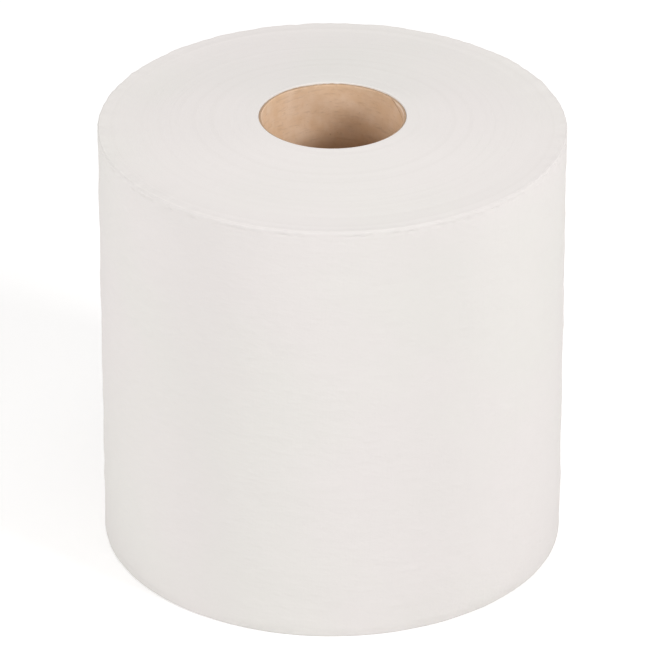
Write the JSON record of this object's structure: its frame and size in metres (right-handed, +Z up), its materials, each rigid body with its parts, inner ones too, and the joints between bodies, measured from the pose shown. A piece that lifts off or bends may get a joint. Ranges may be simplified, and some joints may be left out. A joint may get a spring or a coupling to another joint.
{
  "type": "center pull paper towel roll",
  "caption": "Round roll of white paper towel wound on a cardboard core, standing on its end, with an open hole through the core.",
  "frame": {"origin": "on the core's axis, at the level of the flat outer band of the lower end that the roll stands on", "axes": "+Z up along the core's axis; the web's tail is a step parallel to +Z, 62 degrees about +Z from +X"},
  "size_m": [0.1997, 0.2, 0.1985],
  "materials": {
    "towel_paper": "white tissue, soft and matt",
    "kraft_board": "brown kraft board, matt with visible fibres"
  },
  "bodies": {
    "root": {"paper_web": "towel_paper", "core_tube": "kraft_board"}
  },
  "joints": []
}
